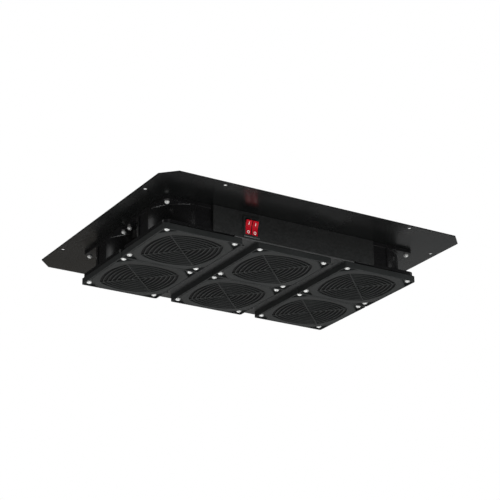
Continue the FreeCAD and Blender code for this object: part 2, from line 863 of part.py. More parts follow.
def rocker(name, side):
    """One rocker at rest, its upper end out. Local y = 0 and z = 0 is the pivot."""
    body = new_body(name)
    body.Placement = FreeCAD.Placement(ORIGIN, FreeCAD.Rotation(X_AXIS, size("rocker_rest_angle")))
    body.setExpression("Placement.Rotation.Angle", bound("rocker_rest_angle"))
    x = f"-{GAP_CENTRE} + {side} * (divider + window_width) / 2"
    place(body, x, f"-{SHEET_FRONT} + rocker_pivot_depth", "switch_height")
    front = "(-rocker_end_rise - rocker_pivot_depth)"
    shoulder = "rocker_shoulder_depth"
    back = "(rocker_back - rocker_pivot_depth)"
    profile = new_sketch(body, "YZ_Plane")
    outline(
        profile,
        [
            (front, "rocker_half_height"),
            (front, "-rocker_half_height", "-rocker_hollow_radius"),
            (shoulder, "-rocker_shoulder"),
            (back, "-rocker_back_half"),
            (back, "rocker_back_half"),
            (shoulder, "rocker_shoulder"),
        ],
    )
    pad(body, profile, "window_width - 2 * rocker_side_gap", both_sides=True)
    pin = new_sketch(body, "YZ_Plane")
    circle(pin, "0", "0", "rocker_pin_radius")
    pad(body, pin, "window_width + 2 * rocker_pin_reach", both_sides=True)
    return body


def box_body(name, width, depth, height):
    """A plain box, centred on x and y, standing on z = 0."""
    body = new_body(name, node=False)
    sketch = new_sketch(body, "XY_Plane")
    rectangle(sketch, f"-{width} / 2", f"-{depth} / 2", f"{width} / 2", f"{depth} / 2")
    pad(body, sketch, height)
    return body


# ---------------------------------------------------------------- cable entry and terminals


def cable_gland():
    """Nylon gland on the rear wall, its axis along local z, the wall's outer face at local z = 0."""
    body = new_body("cable_gland")
    body.Placement = FreeCAD.Placement(ORIGIN, FreeCAD.Rotation(X_AXIS, -90))
    place(body, GAP_CENTRE, SHEET_REAR, "gland_height")
    dome = new_sketch(body, "XZ_Plane")
    outline(
        dome,
        [
            ("gland_bore_radius", "-gland_thread_length"),
            ("gland_thread_radius", "-gland_thread_length"),
            ("gland_thread_radius", "gland_hex_length"),
            ("gland_dome_radius", "gland_hex_length"),
            ("gland_dome_radius", "gland_hex_length + gland_dome_length"),
            ("gland_nose_radius", "gland_length"),
            ("gland_bore_radius", "gland_length"),
        ],
    )
    revolution(body, dome)
    collar = new_sketch(body, "XY_Plane")
    hexagon(collar, "gland_flats")
    circle(collar, "0", "0", "gland_bore_radius")
    pad(body, collar, "gland_hex_length")


def gland_locknut():
    body = new_body("gland_locknut")
    body.Placement = FreeCAD.Placement(ORIGIN, FreeCAD.Rotation(X_AXIS, -90))
    place(body, GAP_CENTRE, f"{SHEET_REAR} - sheet_gauge - locknut_height", "gland_height")
    sketch = new_sketch(body, "XY_Plane")
    hexagon(sketch, "locknut_flats")
    circle(sketch, "0", "0", "gland_thread_radius + thread_clearance")
    pad(body, sketch, "locknut_height")


def terminal_block():
    """Mains terminal block on the cover's floor, in the right-hand channel between the columns."""
    body = new_body("terminal_block")
    place(body, GAP_CENTRE, "-block_front + block_length / 2", FAN_FLOOR)
    section = new_sketch(body, "XY_Plane")
    rectangle(section, "-block_width / 2", "-block_length / 2", "block_width / 2", "block_length / 2")
    pad(body, section, "block_height")
    ways = int(size("block_ways"))
    wire_holes = new_sketch(body, "YZ_Plane")
    for way in range(ways):
        y = f"({way} + 0.5) * block_length / block_ways - block_length / 2"
        circle(wire_holes, y, "wire_hole_height", "wire_hole_radius")
    pocket(body, wire_holes)
    return body


def switch_group():
    switch_housing()
    rocker("rocker_left", -1)
    rocker("rocker_right", 1)
    lug = box_body("lug_master", "lug_width", "lug_length", "lug_thickness")
    places = []
    for side in (-1, 1):
        x = f"-{GAP_CENTRE} + {side} * (divider + window_width) / 2"
        for level in (-1, 0, 1):
            y = f"-{SHEET_FRONT} + switch_depth + lug_length / 2"
            places.append(at(x, y, f"switch_height + {level} * lug_spacing - lug_thickness / 2"))
    group("switch_terminals", lug, places)


def terminals():
    terminal_block()
    head = new_body("block_screw_master", node=False)
    sketch = new_sketch(head, "XY_Plane")
    circle(sketch, "0", "0", "block_screw_radius")
    pad(head, sketch, "block_screw_height")
    places = []
    for way in range(int(size("block_ways"))):
        y = f"({way} + 0.5) * block_length / block_ways - block_front"
        for side in (-1, 1):
            x = f"{GAP_CENTRE} + {side} * block_width / 4"
            places.append(at(x, y, f"{FAN_FLOOR} + block_height"))
    group("terminal_block_screws", head, places)
    block = box_body("lead_block_master", "lead_block_depth", "lead_block_width", "lead_block_height")
    reach = "(barrel_radius + thread_clearance + lead_block_depth / 2) / sqrt(2)"
    places = []
    for name, x, y in fan_places():
        side = 1 if name.startswith("front") else -1
        turned = FreeCAD.Rotation(Z_AXIS, -45)
        place_x, place_y = f"{x} - {side} * {reach}", f"{y} + {side} * {reach}"
        places.append(at(place_x, place_y, f"{FAN_FLOOR} + lead_block_start", turned))
    group("fan_terminal_blocks", block, places)


def fans():
    frame, rotor, axle = fan_frame(), impeller(), shaft()
    stator = ring_body("stator_master", "stator_radius", "tube_radius + stator_clearance", "stator_length",
                       "stator_start")
    base, front, filling = guard_base(), guard_cover(), foam()
    for name, x, y in fan_places():
        turn = 0.0 if name.startswith("front") else 180.0
        instance(f"fan_frame_{name}", frame, x, y, FAN_FLOOR, turn)
        instance(f"impeller_{name}", rotor, x, y, FAN_FLOOR)
        instance(f"shaft_{name}", axle, x, y, FAN_FLOOR)
        instance(f"stator_{name}", stator, x, y, FAN_FLOOR)
        instance(f"guard_base_{name}", base, x, y, "cover_drop")
        instance(f"filter_foam_{name}", filling, x, y, "cover_thickness + foam_clearance")
        instance(f"guard_cover_{name}", front, x, y, "0")
    bearing = ring_body("bearing_master", "bearing_outer_radius - thread_clearance",
                        "shaft_radius + thread_clearance", "bearing_length")
    places = []
    for name, x, y in fan_places():
        for level in ("lower_bearing_start", "upper_bearing_start"):
            places.append(at(x, y, f"{FAN_FLOOR} + {level}"))
    group("ball_bearings", bearing, places)


def fasteners():
    upright, hexagonal = screw("guard_screw_master", "guard_screw_length"), nut()
    hanging = screw("plate_screw_master", "plate_screw_length")
    flipped = FreeCAD.Rotation(X_AXIS, 180)
    guard_screws, plate_screws, plate_nuts, spacers = [], [], [], []
    for name, side, x, y in screw_places():
        guard_screws.append(at(x, y, POCKET_FLOOR))
        plate_screws.append(at(x, y, PLATE_TOP, flipped))
        plate_nuts.append(at(x, y, f"{PLATE_FLOOR} - flange_depth - nut_height"))
        if abs(size(x)) > size("cover_width / 2"):
            spacers.append(at(x, y, GUARD_TOP))
    for x, y in tab_places():
        plate_screws.append(at(x, y, PLATE_TOP, flipped))
        plate_nuts.append(at(x, y, f"{PLATE_FLOOR} - sheet_gauge - nut_height"))
    group("guard_screws", upright, guard_screws)
    group("plate_screws", hanging, plate_screws)
    group("plate_nuts", hexagonal, plate_nuts)
    spacer = ring_body("spacer_master", "spacer_radius", "screw_hole_radius", "sheet_gauge")
    group("spacer_washers", spacer, spacers)


def export():
    """Checks every object and writes one file for each sub-part."""
    document.recompute()
    for thing in document.Objects:
        if {"Invalid", "Error"} & set(thing.State):
            raise ValueError(f"{thing.Label} is {thing.State}")
    os.makedirs("parts", exist_ok=True)
    for node in nodes:
        shape = node.Shape
        if shape.isNull() or not shape.isValid():
            raise ValueError(f"{node.Label} has no valid shape")
        shape.exportStep(f"parts/{node.Label}.step")
    print(f"{len(nodes)} sub-parts written")


mounting_plate()
wiring_cover()
fans()
fasteners()
switch_group()
cable_gland()
gland_locknut()
terminals()
export()
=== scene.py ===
# Six-fan tray for the roof of a server rack, seen from below.
import math

import bpy
import numpy as np
from mathutils import Matrix, Vector


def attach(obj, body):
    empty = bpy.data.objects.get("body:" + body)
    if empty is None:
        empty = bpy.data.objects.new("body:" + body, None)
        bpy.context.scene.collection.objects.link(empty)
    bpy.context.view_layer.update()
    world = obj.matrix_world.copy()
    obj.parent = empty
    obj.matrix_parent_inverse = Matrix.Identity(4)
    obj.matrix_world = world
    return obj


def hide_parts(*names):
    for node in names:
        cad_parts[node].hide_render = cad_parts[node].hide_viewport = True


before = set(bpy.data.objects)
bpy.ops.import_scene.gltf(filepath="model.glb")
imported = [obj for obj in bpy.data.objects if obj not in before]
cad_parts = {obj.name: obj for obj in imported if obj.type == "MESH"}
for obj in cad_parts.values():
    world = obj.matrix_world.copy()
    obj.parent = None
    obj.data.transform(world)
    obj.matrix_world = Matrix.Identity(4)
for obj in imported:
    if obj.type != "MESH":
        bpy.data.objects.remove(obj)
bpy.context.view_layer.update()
print("frame loaded")

mm = 0.001

# where the camera stands: angles in degrees, lens and sensor in millimetres, the rest in metres
cameraView = {"azimuth": -32.251, "elevation": -21.751, "roll": -1.053, "distance": 2.2689,
              "target": (-0.06424, -0.10636, 0.00145), "lens": 120.24, "sensor": 36.0,
              "clip": (0.05, 60.0)}

# fan centres, and how far along x and y a screw is from its centre, in millimetres
fanGrid = {"columns": {"left": -144.8, "middle": 0.0, "right": 144.8},
           "rows": {"front": -60.85, "rear": 60.85}, "screw": 52.4}


def placeCamera(view):
    # back points from the target to the camera; roll turns the picture about the line of sight
    azimuth, elevation, roll = (math.radians(view[k]) for k in ("azimuth", "elevation", "roll"))
    back = Vector((math.sin(azimuth) * math.cos(elevation), -math.cos(azimuth) * math.cos(elevation),
                   math.sin(elevation)))
    right = Vector((0, 0, 1)).cross(back).normalized()
    up = back.cross(right)
    turnedRight = math.cos(roll) * right + math.sin(roll) * up
    turnedUp = math.cos(roll) * up - math.sin(roll) * right
    camera = bpy.data.objects.new("camera", bpy.data.cameras.new("camera"))
    bpy.context.scene.collection.objects.link(camera)
    camera.data.lens, camera.data.sensor_width = view["lens"], view["sensor"]
    camera.data.clip_start, camera.data.clip_end = view["clip"]
    place = Matrix((turnedRight, turnedUp, back)).transposed().to_4x4()
    place.translation = Vector(view["target"]) + back * view["distance"]
    camera.matrix_world = place
    bpy.context.scene.camera = camera


placeCamera(cameraView)
print("camera placed")


# nodes and colours

def linear(hexColour):
    # an sRGB hex colour as linear red, green, blue and alpha
    parts = np.array([int(hexColour[i:i + 2], 16) for i in (1, 3, 5)]) / 255
    return tuple(np.where(parts <= 0.04045, parts / 12.92, ((parts + 0.055) / 1.055) ** 2.4)) + (1.0,)


def addNode(tree, kind, inputs=None, **settings):
    # one node with its settings; an input is a number, a colour or another node's output
    node = tree.nodes.new(kind)
    for name, value in settings.items():
        setattr(node, name, value)
    for socket, value in (inputs or {}).items():
        if isinstance(value, bpy.types.NodeSocket):
            tree.links.new(value, node.inputs[socket])
        else:
            node.inputs[socket].default_value = value
    return node


def emptyMaterial(name):
    material = bpy.data.materials.new(name)
    material.use_nodes = True
    material.node_tree.nodes.clear()
    return material, material.node_tree


def ranged(tree, value, span, result=(0.0, 1.0)):
    # the value stretched so that its span becomes the result
    return addNode(tree, "ShaderNodeMapRange",
                   {"Value": value, "From Min": span[0], "From Max": span[1],
                    "To Min": result[0], "To Max": result[1]}).outputs[0]


def mixedColour(tree, share, first, second):
    # the first colour where the share is 0, the second where it is 1
    return addNode(tree, "ShaderNodeMix", {0: share, 6: first, 7: second}, data_type="RGBA").outputs[2]


# where nearly all of the noise lies, for one pattern and for the sum of two
noiseSpan, noiseSumSpan = (0.3, 0.7), (0.7, 1.3)


def finishMaterial(name, finish):
    # cloudy colour and gloss at one scale, a fine relief at another, edges rounded by a bevel
    material, tree = emptyMaterial(name)
    coords = addNode(tree, "ShaderNodeTexCoord").outputs["Object"]
    cloud, grain = (addNode(tree, "ShaderNodeTexNoise",
                            {"Vector": coords, "Scale": 1 / (finish[size] * mm),
                             "Detail": detail}).outputs["Fac"]
                    for size, detail in (("cloudSize", 3.0), ("grainSize", 2.0)))
    blended = addNode(tree, "ShaderNodeMath", {0: cloud, 1: grain}, operation="ADD").outputs[0]
    shade = ranged(tree, blended, noiseSumSpan)
    colour = mixedColour(tree, shade, linear(finish["dark"]), linear(finish["light"]))
    gloss = ranged(tree, cloud, noiseSpan, finish["roughness"])
    rounded = addNode(tree, "ShaderNodeBevel", {"Radius": finish["edge"] * mm}, samples=4).outputs[0]
    relief = addNode(tree, "ShaderNodeBump",
                     {"Height": grain, "Strength": finish["relief"], "Distance": finish["depth"] * mm,
                      "Normal": rounded}).outputs[0]
    shader = addNode(tree, "ShaderNodeBsdfPrincipled",
                     {"Base Color": colour, "Roughness": gloss, "Normal": relief})
    for socket in ("Metallic", "Specular IOR Level", "Transmission Weight"):
        if socket in finish:
            shader.inputs[socket].default_value = finish[socket]
    addNode(tree, "ShaderNodeOutputMaterial", {"Surface": shader.outputs[0]})
    return material


# the finishes, each with what it gives the eye: hex colours, sizes in millimetres
finishes = {
    "powderCoatPlate": {  # smooth powder coat: near black, a soft mirror of the room, faint grain
        "dark": "#090a0a", "light": "#0d0e0e", "roughness": (0.22, 0.29), "cloudSize": 60,
        "grainSize": 1.6, "relief": 0.25, "depth": 0.05, "edge": 0.4},
    "powderCoatTextured": {  # textured powder coat: satin and speckled, breaks reflections up
        "dark": "#131414", "light": "#2a2b2b", "roughness": (0.34, 0.44), "cloudSize": 2.6,
        "grainSize": 1.5, "relief": 0.8, "depth": 0.2, "edge": 0.6},
    "paintedDieCasting": {  # paint over die casting: black gloss with a slight orange peel
        "dark": "#0e0e0f", "light": "#151516", "roughness": (0.24, 0.32), "cloudSize": 25,
        "grainSize": 2.5, "relief": 0.12, "depth": 0.06, "edge": 0.4, "Specular IOR Level": 0.35},
    "mouldedImpeller": {  # moulded plastic: black with an even sheen
        "dark": "#0d0d0e", "light": "#131314", "roughness": (0.4, 0.5), "cloudSize": 20,
        "grainSize": 1.0, "relief": 0.2, "depth": 0.03, "edge": 0.4},
    "mouldedGuard": {  # moulded plastic with a fine texture: matt charcoal, lighter than the plate
        "dark": "#1b1d1d", "light": "#232525", "roughness": (0.5, 0.6), "cloudSize": 35,
        "grainSize": 1.4, "relief": 0.35, "depth": 0.05, "edge": 0.4, "Specular IOR Level": 0.3},
    "openCellFoam": {  # cut foam: rough and blackest of all, no sheen
        "dark": "#030303", "light": "#0b0b0b", "roughness": (0.9, 1.0), "cloudSize": 6,
        "grainSize": 1.6, "relief": 1.0, "depth": 0.8, "edge": 0.2},
    "groundSteel": {  # ground steel: bright mirror, slightly hazy
        "dark": "#9a9a98", "light": "#b4b4b2", "roughness": (0.25, 0.35), "cloudSize": 8,
        "grainSize": 0.5, "relief": 0.1, "depth": 0.02, "edge": 0.2, "Metallic": 1.0},
    "varnishedLaminations": {  # stacked sheets under varnish: brown, half metallic
        "dark": "#4a3a2c", "light": "#6b5541", "roughness": (0.4, 0.6), "cloudSize": 6,
        "grainSize": 0.6, "relief": 0.4, "depth": 0.1, "edge": 0.2, "Metallic": 0.6},
    "brightZinc": {  # zinc plating: pale and hazy, only part metal so that it stays light from any side
        "dark": "#d4d5d4", "light": "#e6e7e6", "roughness": (0.36, 0.46), "cloudSize": 6,
        "grainSize": 0.6, "relief": 0.15, "depth": 0.03, "edge": 0.15, "Metallic": 0.6},
    "mouldedSwitch": {  # moulded plastic: grey-black with a low sheen
        "dark": "#1c1f1f", "light": "#242828", "roughness": (0.34, 0.44), "cloudSize": 12,
        "grainSize": 0.8, "relief": 0.15, "depth": 0.03, "edge": 0.5},
    "redPolycarbonate": {  # dyed clear moulding: glossy red that lets some light in
        "dark": "#b8091c", "light": "#cc1026", "roughness": (0.12, 0.2), "cloudSize": 12,
        "grainSize": 2.0, "relief": 0.05, "depth": 0.02, "edge": 0.4,
        "Transmission Weight": 0.25},
    "tinnedBrass": {  # pressed brass lugs: yellow metal, slightly hazy
        "dark": "#b99c56", "light": "#d0b46a", "roughness": (0.25, 0.35), "cloudSize": 5,
        "grainSize": 0.6, "relief": 0.1, "depth": 0.02, "edge": 0.2, "Metallic": 1.0},
    "whiteInk": {  # printed marks: near white with little sheen
        "dark": "#e2e2de", "light": "#f0f0ec", "roughness": (0.4, 0.5), "cloudSize": 4,
        "grainSize": 0.6, "relief": 0.05, "depth": 0.01, "edge": 0.05},
    "blackNylon": {  # moulded nylon: soft satin black
        "dark": "#141414", "light": "#1b1b1b", "roughness": (0.42, 0.55), "cloudSize": 15,
        "grainSize": 0.9, "relief": 0.25, "depth": 0.04, "edge": 0.5},
    "naturalNylon": {  # undyed nylon: cream with little sheen
        "dark": "#cfcabb", "light": "#dedacd", "roughness": (0.45, 0.55), "cloudSize": 15,
        "grainSize": 0.9, "relief": 0.2, "depth": 0.04, "edge": 0.5, "Specular IOR Level": 0.4},
}
materials = {name: finishMaterial(name, finish) for name, finish in finishes.items()}
print("materials made")

# which finish each node of the tray takes, by the start of its name
nodeFinishes = {
    "mounting_plate": "powderCoatPlate", "wiring_cover": "powderCoatTextured",
    "fan_frame": "paintedDieCasting", "impeller": "mouldedImpeller",
    "shaft": "groundSteel", "stator": "varnishedLaminations", "ball_bearings": "groundSteel",
    "guard_base": "mouldedGuard", "filter_foam": "openCellFoam", "guard_cover": "mouldedGuard",
    "guard_screws": "brightZinc", "plate_screws": "brightZinc", "plate_nuts": "brightZinc",
    "spacer_washers": "brightZinc", "fan_terminal_blocks": "blackNylon",
    "switch_housing": "mouldedSwitch", "rocker": "redPolycarbonate", "switch_terminals": "tinnedBrass",
    "cable_gland": "blackNylon", "gland_locknut": "blackNylon",
    "terminal_block": "naturalNylon", "terminal_block_screws": "brightZinc",
}
for name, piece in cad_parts.items():
    start = max((s for s in nodeFinishes if name.startswith(s)), key=len)
    piece.data.materials.clear()
    piece.data.materials.append(materials[nodeFinishes[start]])


# detailed pieces: sizes in millimetres, each shape built in its own axes

def wrapGrid(points, poles=(False, False), looped=False):
    # rows of closed rings joined by quads; a pole closes an end with triangles
    # and looped joins the last row to the first
    rows, columns = points.shape[:2]
    index = np.arange(rows * columns).reshape(rows, columns)
    ring = np.concatenate((index, index[:, :1]), axis=1)
    if looped:
        ring = np.concatenate((ring, ring[:1]), axis=0)
    quads = np.stack((ring[:-1, :-1], ring[:-1, 1:], ring[1:, 1:], ring[1:, :-1]), axis=-1).reshape(-1, 4)
    vertices, triangles = points.reshape(-1, 3), []
    for wanted, row, order in ((poles[0], 0, (1, 0)), (poles[1], rows - 1, (0, 1))):
        if wanted:
            ends = (ring[row, :-1], ring[row, 1:])
            centre = np.full(columns, len(vertices))
            triangles.append(np.stack((ends[order[0]], ends[order[1]], centre), axis=-1))
            vertices = np.concatenate((vertices, points[row].mean(axis=0)[None]))
    return vertices, quads, np.concatenate(triangles) if triangles else np.zeros((0, 3), int)


def ringAt(angles, reach, z):
    # points round the z axis at that height
    return np.stack((reach * np.cos(angles), reach * np.sin(angles), np.full_like(angles, z)), axis=-1)


def facedOutward(shape):
    # six times the enclosed volume is the sum of a . (b x c) over the triangles;
    # a negative one is turned round
    vertices, quads, triangles = shape
    halves = np.concatenate((quads[:, [0, 1, 2]], quads[:, [0, 2, 3]], triangles))
    a, b, c = (vertices[halves[:, i]] for i in range(3))
    if np.einsum("ij,ij->", a, np.cross(b, c)) < 0:
        return vertices, quads[:, ::-1], triangles[:, ::-1]
    return shape


def copies(shape, offsets, flipped=False):
    # the shape at each offset; flipped turns it half round about x first
    vertices, quads, triangles = shape
    if flipped:
        vertices = vertices * (1, -1, -1)
    steps = np.arange(len(offsets))[:, None, None] * len(vertices)
    return ((vertices[None] + np.asarray(offsets, float)[:, None]).reshape(-1, 3),
            (quads[None] + steps).reshape(-1, 4), (triangles[None] + steps).reshape(-1, 3))


def joined(*shapes):
    starts = np.cumsum([0] + [len(s[0]) for s in shapes[:-1]])
    return (np.concatenate([s[0] for s in shapes]),
            *(np.concatenate([s[k] + n for s, n in zip(shapes, starts)]) for k in (1, 2)))


def newPiece(name, shape, material, body="tray", stands=None, sharp=38):
    # a piece on one body of the tray, smooth but for edges sharper than the angle in degrees
    vertices, quads, triangles = shape
    mesh = bpy.data.meshes.new(name)
    mesh.from_pydata((vertices * mm).tolist(), [], quads.tolist() + triangles.tolist())
    mesh.materials.append(materials[material])
    mesh.shade_smooth()
    mesh.set_sharp_from_angle(angle=math.radians(sharp))
    piece = bpy.data.objects.new(name, mesh)
    bpy.context.scene.collection.objects.link(piece)
    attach(piece, body)
    if stands:
        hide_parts(stands)


# screw: pan head below z = 0 with a cross recess, shank above; the last turns before the tip taper
screwSizes = {"headRadius": 4.0, "headHeight": 2.6, "headPower": 2.5,
              "recessRows": (0.06, 0.62, 9), "rimRows": (0.7, 1.0, 8),
              "recessArm": 0.62, "armFade": 1.6, "recessReach": 2.1, "reachFade": 0.35, "recessEdge": 2.6,
              "recessDepth": 1.5, "recessSlope": 0.35, "shank": 1.75, "thread": 0.28, "pitch": 0.6,
              "rowsPerTurn": 5, "threaded": 4.2, "tip": 0.8, "tipTaper": 0.35, "columns": 36}


def screwShape(length, sizes):
    angles = np.linspace(0, 2 * np.pi, sizes["columns"], endpoint=False)
    # head: (r / R)^p + (h / H)^p = 1, denser rows near the middle for the recess
    reach = np.concatenate((np.linspace(*sizes["recessRows"]), np.linspace(*sizes["rimRows"])))
    power = sizes["headPower"]
    rise = sizes["headHeight"] * np.clip(1 - reach ** power, 0, 1) ** (1 / power)
    radius = reach[:, None] * sizes["headRadius"] * np.ones_like(angles)
    x, y = radius * np.cos(angles), radius * np.sin(angles)
    nearArm = np.minimum(abs(x), abs(y)) / sizes["recessArm"]
    sunk = (np.clip(sizes["armFade"] - nearArm, 0, 1)
            * np.clip((sizes["recessReach"] - radius) / sizes["reachFade"] + 1, 0, 1))
    slope = 1 - sizes["recessSlope"] * radius / sizes["recessReach"]
    depth = sizes["recessDepth"] * sunk * slope * (radius < sizes["recessEdge"])
    head = np.stack((x, y, depth - rise[:, None]), axis=-1)
    # shank: the radius falls from crest to root and back once per pitch and per turn
    rowStep = sizes["pitch"] / sizes["rowsPerTurn"]
    levels = np.concatenate(([0], np.arange(length - sizes["threaded"], length, rowStep)))
    phase = (levels[:, None] / sizes["pitch"] - angles / (2 * np.pi)) % 1
    taper = np.clip((length - levels) / sizes["tip"], 0.0, 1.0)[:, None]
    shank = sizes["shank"] - sizes["thread"] * (1 - abs(2 * phase - 1)) - sizes["tipTaper"] * (1 - taper)
    rows = np.stack((shank * np.cos(angles), shank * np.sin(angles),
                     levels[:, None] * np.ones_like(angles)), axis=-1)
    return facedOutward(wrapGrid(np.concatenate((head, rows)), poles=(True, True)))


# nut: hexagon whose corners are cut by a 30 degree cone at both faces,
# with a round locking collar below, given as radius and level
nutSizes = {"flats": 6.0, "height": 2.4, "face": 2.85, "chamfer": 0.36, "hole": 1.78, "columns": 48,
            "collar": ((1.78, -0.9), (2.0, -1.15), (2.25, -1.05), (2.5, -0.75), (2.6, -0.35),
                       (2.62, 0.0))}


def nutShape(sizes):
    angles = np.linspace(0, 2 * np.pi, sizes["columns"], endpoint=False)
    hexagon = sizes["flats"] / 2 / np.cos((angles + np.pi / 6) % (np.pi / 3) - np.pi / 6)
    depths = np.linspace(0, sizes["chamfer"], 5)
    below = [np.minimum(hexagon, sizes["face"] + d * math.sqrt(3)) for d in depths]
    hole, height = np.full_like(angles, sizes["hole"]), sizes["height"]
    collar = [np.full_like(angles, r) for r, z in sizes["collar"]]
    radii = [hole] + collar + below + below[::-1] + [hole]
    levels = ([height / 2] + [z for r, z in sizes["collar"]] + depths.tolist()
              + [height - d for d in depths[::-1]] + [height])
    points = np.stack([ringAt(angles, r, z) for r, z in zip(radii, levels)])
    return facedOutward(wrapGrid(points, looped=True))


def screwPlaces(z):
    return [(x + i * fanGrid["screw"], y + j * fanGrid["screw"], z) for x in fanGrid["columns"].values()
            for y in fanGrid["rows"].values() for i in (-1, 1) for j in (-1, 1)]


# heights of the seats, lengths of the two kinds of screw, and places of the wiring cover's tab screws
seats = {"pocketFloor": 3.15, "plateTop": 49.25, "flangeNut": 40.75, "tabNut": 44.15,
         "guardScrew": 10.6, "plateScrew": 10.0, "tabX": 72.4, "tabY": (-101.2, 109.05)}
tabPlaces = [(side * seats["tabX"], y) for side in (-1, 1) for y in seats["tabY"]]
newPiece("guardScrewsDetailed",
         copies(screwShape(seats["guardScrew"], screwSizes), screwPlaces(seats["pocketFloor"])),
         "brightZinc", stands="guard_screws")
newPiece("plateScrewsDetailed",
         copies(screwShape(seats["plateScrew"], screwSizes), screwPlaces(seats["plateTop"])
                + [(x, y, seats["plateTop"]) for x, y in tabPlaces], flipped=True),
         "brightZinc", stands="plate_screws")
newPiece("plateNutsDetailed",
         copies(nutShape(nutSizes), screwPlaces(seats["flangeNut"])
                + [(x, y, seats["tabNut"]) for x, y in tabPlaces]),
         "brightZinc", stands="plate_nuts")
print("fasteners made")

# grille cover: a square with cut corners, its opening four flat arcs that meet on the diagonals,
# with rings nested in it
grilleSizes = {"half": 58.7, "cornerLine": 96.5, "bevel": 1.0, "thickness": 2.0, "skirt": 1.3,
               "skirtTop": 5.6, "opening": 51.66, "openingRound": 0.5, "arc": 80.3, "roundMiddle": 0.3,
               "rings": 7, "first": 8.55, "pitch": 6.33, "rib": 1.7, "ribRound": 0.35, "ribDepth": 2.0,
               "spoke": 1.6, "spokeFlat": 0.7, "spokeFace": 0.05, "spokeSunk": 0.5, "columns": 512}


def arcReach(angles, apex, radius):
    # distance from the centre to an arc of that radius whose middle is at apex, repeated for each quarter
    turn = (angles + np.pi / 4) % (np.pi / 2) - np.pi / 4
    back = radius - apex
    return -back * np.cos(turn) + np.sqrt(radius ** 2 - (back * np.sin(turn)) ** 2)


def squareReach(angles, half, line):
    # distance from the centre to the sides |x| = |y| = half or the cut |x| + |y| = line
    c, s = abs(np.cos(angles)), abs(np.sin(angles))
    return np.minimum(half / np.maximum(c, s), line / (c + s))


def grilleShape(sizes):
    angles = np.linspace(0, 2 * np.pi, sizes["columns"], endpoint=False)
    bevel, skirt, top = sizes["bevel"], sizes["skirt"], sizes["thickness"]
    lip, share = sizes["openingRound"], sizes["roundMiddle"]

    def outer(less):
        return squareReach(angles, sizes["half"] - less, sizes["cornerLine"] - 2 * less)

    opening = arcReach(angles, sizes["opening"], sizes["arc"])
    frameRows = [(opening, top), (opening, lip), (opening + share * lip, share * lip),
                 (opening + lip, 0.0), (outer(bevel), 0.0), (outer(0), bevel),
                 (outer(0), sizes["skirtTop"]), (outer(skirt), sizes["skirtTop"]), (outer(skirt), top)]
    shapes = [facedOutward(wrapGrid(np.stack([ringAt(angles, r, z) for r, z in frameRows]), looped=True))]
    half, soft, depth = sizes["rib"] / 2, sizes["ribRound"], sizes["ribDepth"]
    for number in range(sizes["rings"]):
        middle = arcReach(angles, sizes["first"] + number * sizes["pitch"], sizes["arc"])
        ribRows = [(middle - half, depth), (middle - half, soft),
                   (middle - half + share * soft, share * soft),
                   (middle - half + soft, 0.0), (middle + half - soft, 0.0),
                   (middle + half - share * soft, share * soft),
                   (middle + half, soft), (middle + half, depth)]
        ribPoints = np.stack([ringAt(angles, r, z) for r, z in ribRows])
        shapes.append(facedOutward(wrapGrid(ribPoints, looped=True)))
    # two crossed spokes, each a rounded bar along a diagonal, the ends sunk into the frame
    flat, face = sizes["spokeFlat"], sizes["spokeFace"]
    section = np.array([(-1.0, depth), (-1.0, soft), (-flat, face),
                        (flat, face), (1.0, soft), (1.0, depth)])
    reach = arcReach(np.array([np.pi / 4]), sizes["opening"], sizes["arc"])[0] + sizes["spokeSunk"]
    for turn in (np.pi / 4, 3 * np.pi / 4):
        along = np.array((math.cos(turn), math.sin(turn)))
        across = np.array((-math.sin(turn), math.cos(turn)))
        sideways = across * section[:, :1] * sizes["spoke"] / 2
        points = np.stack([np.concatenate((along * d + sideways, section[:, 1:]), axis=1)
                           for d in np.linspace(-reach, reach, 9)])
        shapes.append(facedOutward(wrapGrid(points, poles=(True, True))))
    return joined(*shapes)


grille = grilleShape(grilleSizes)
for rowName, y in fanGrid["rows"].items():
    for columnName, x in fanGrid["columns"].items():
        newPiece(f"grille{rowName.title()}{columnName.title()}", copies(grille, [(x, y, 0.0)]),
                 "mouldedGuard", stands=f"guard_cover_{rowName}_{columnName}",
                 sharp=30)
print("grilles made")

# fillets where the round barrel meets the square flanges, only in the corners where it runs inside them
filletSizes = {"barrel": 61.2, "radius": 1.5, "halfSide": 59.2, "buried": (0.4, 0.3),
               "levels": ((43.3, -1), (14.2, 1))}


def filletShape(sizes):
    # concave quarter circle from the barrel out to the flange, closed by a corner point inside both
    bend, (inside, behind) = np.linspace(0, np.pi / 2, 7), sizes["buried"]
    out = np.concatenate((sizes["radius"] * (1 - np.cos(bend)), [-inside, -inside]))
    down = np.concatenate((sizes["radius"] * (1 - np.sin(bend)), [-behind, sizes["radius"]]))
    reach = sizes["barrel"] + out
    edge = math.acos(sizes["halfSide"] / (sizes["barrel"] + sizes["radius"]))
    shapes = []
    for level, way in sizes["levels"]:
        for quarter in range(4):
            turns = quarter * np.pi / 2 + np.linspace(edge, np.pi / 2 - edge, 25)
            points = np.stack([np.stack((reach * math.cos(t), reach * math.sin(t), level + way * down),
                                        axis=-1) for t in turns])
            shapes.append(facedOutward(wrapGrid(points, poles=(True, True))))
    return joined(*shapes)


fanPlaces = [(x, y, 0.0) for x in fanGrid["columns"].values() for y in fanGrid["rows"].values()]
newPiece("barrelFillets", copies(filletShape(filletSizes), fanPlaces),
         "paintedDieCasting", sharp=50)
print("fillets made")

